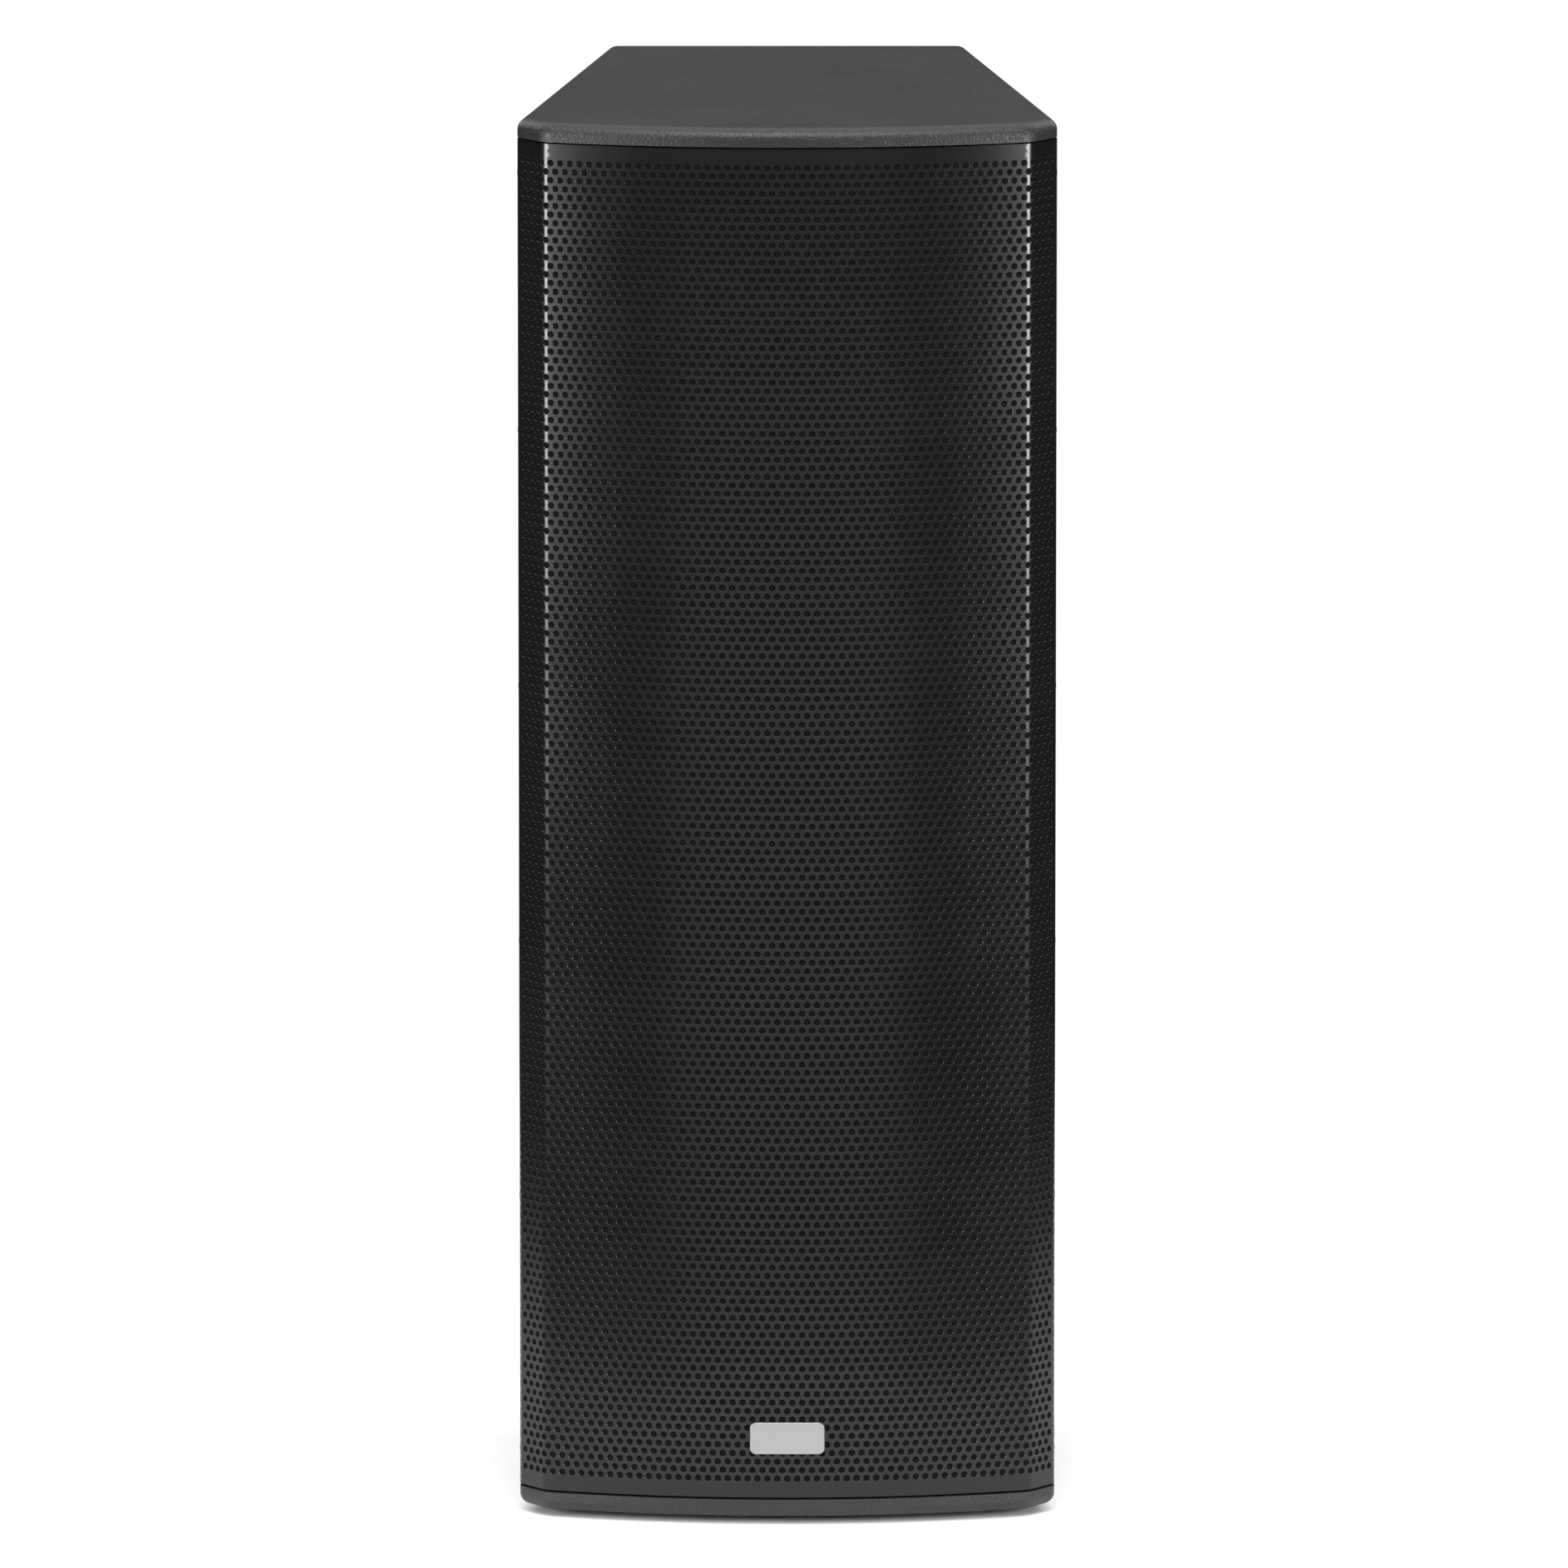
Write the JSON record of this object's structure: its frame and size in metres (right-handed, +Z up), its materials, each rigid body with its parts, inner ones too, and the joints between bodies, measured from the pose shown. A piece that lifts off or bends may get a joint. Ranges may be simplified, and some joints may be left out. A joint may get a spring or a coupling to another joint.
{
  "type": "pa speaker cabinet",
  "caption": "Tall trapezoidal PA loudspeaker cabinet with a bowed perforated steel grille, two woofers, a horn, ports, recessed side handles and a rear connector dish.",
  "frame": {"origin": "on the floor under the middle of the cabinet's width and depth", "axes": "+Z up, the grille faces -Y, +X to the right of a listener who faces the grille"},
  "size_m": [0.4318, 0.4599, 1.137],
  "materials": {
    "textured_paint": "structured black paint on plywood",
    "black_wood": "black stained plywood",
    "raw_ply": "bare plywood",
    "foot_rubber": "moulded rubber",
    "zinc_screw": "zinc plated",
    "black_screw": "blackened steel",
    "powder_coat": "satin black powder coat",
    "foam_black": "open-cell acoustic foam",
    "badge_metal": "satin anodised",
    "horn_plastic": "moulded",
    "abs_black": "moulded",
    "port_plastic": "moulded",
    "socket_plastic": "glass-filled moulding",
    "knob_plastic": "moulded",
    "handle_steel": "powder coated",
    "cast_black": "painted casting",
    "treated_cloth": "treated cloth",
    "spider_cloth": "impregnated cloth",
    "paper_black": "felted paper",
    "gasket_rubber": "foam rubber",
    "copper": "copper windings on a former",
    "zinc_steel": "zinc plated",
    "ferrite": "ferrite",
    "titanium": "drawn foil",
    "circuit_board": "circuit board with coils"
  },
  "bodies": {
    "cabinet": {"top_panel": "textured_paint", "bottom_panel": "textured_paint", "left_side_panel": "textured_paint", "right_side_panel": "textured_paint", "rear_panel": "textured_paint", "front_baffle": "black_wood", "upper_brace": "raw_ply", "lower_brace": "raw_ply", "rubber_feet": "foot_rubber", "foot_screws": "zinc_screw", "grille": "powder_coat", "grille_foam": "foam_black", "grille_screws": "black_screw", "badge": "badge_metal", "horn": "horn_plastic", "horn_screws": "black_screw", "hf_front_plate": "zinc_steel", "hf_magnet": "ferrite", "hf_back_cover": "abs_black", "hf_bolts": "zinc_screw", "lower_left_port": "port_plastic", "lower_right_port": "port_plastic", "upper_left_port": "port_plastic", "upper_right_port": "port_plastic", "left_handle_cup": "handle_steel", "right_handle_cup": "handle_steel", "left_handle_bar": "handle_steel", "right_handle_bar": "handle_steel", "handle_screws": "black_screw", "terminal_dish": "abs_black", "input_socket": "socket_plastic", "link_socket": "socket_plastic", "mode_switch": "abs_black", "terminal_screws": "black_screw", "crossover_board": "circuit_board", "rigging_inserts": "zinc_steel", "upper_woofer_frame": "cast_black", "upper_woofer_gasket": "gasket_rubber", "upper_woofer_top_plate": "zinc_steel", "upper_woofer_magnet": "ferrite", "upper_woofer_yoke": "zinc_steel", "upper_woofer_screws": "black_screw", "lower_woofer_frame": "cast_black", "lower_woofer_gasket": "gasket_rubber", "lower_woofer_top_plate": "zinc_steel", "lower_woofer_magnet": "ferrite", "lower_woofer_yoke": "zinc_steel", "lower_woofer_screws": "black_screw"},
    "upper_cone": {"upper_woofer_cone": "paper_black", "upper_woofer_surround": "treated_cloth", "upper_woofer_dust_cap": "paper_black", "upper_woofer_spider": "spider_cloth", "upper_woofer_voice_coil": "copper"},
    "lower_cone": {"lower_woofer_cone": "paper_black", "lower_woofer_surround": "treated_cloth", "lower_woofer_dust_cap": "paper_black", "lower_woofer_spider": "spider_cloth", "lower_woofer_voice_coil": "copper"},
    "hf_dome": {"hf_diaphragm": "titanium"},
    "selector": {"mode_knob": "knob_plastic"}
  },
  "joints": [
    {"name": "upper_cone_travel", "type": "slide", "parent": "cabinet", "child": "upper_cone", "axis": [0, -1, 0], "range_m": [-0.007, 0.007], "stiffness_N_per_m": 6000, "deforming": ["upper_woofer_surround", "upper_woofer_spider"]},
    {"name": "lower_cone_travel", "type": "slide", "parent": "cabinet", "child": "lower_cone", "axis": [0, -1, 0], "range_m": [-0.007, 0.007], "stiffness_N_per_m": 6000, "deforming": ["lower_woofer_surround", "lower_woofer_spider"]},
    {"name": "hf_dome_travel", "type": "slide", "parent": "cabinet", "child": "hf_dome", "axis": [0, -1, 0], "range_m": [-0.0004, 0.0004], "stiffness_N_per_m": 2000},
    {"name": "selector_turn", "type": "hinge", "parent": "cabinet", "child": "selector", "pos_m": [-0.052, 0.2, 0.19], "axis": [0, 1, 0], "range_deg": [0, 90]}
  ]
}
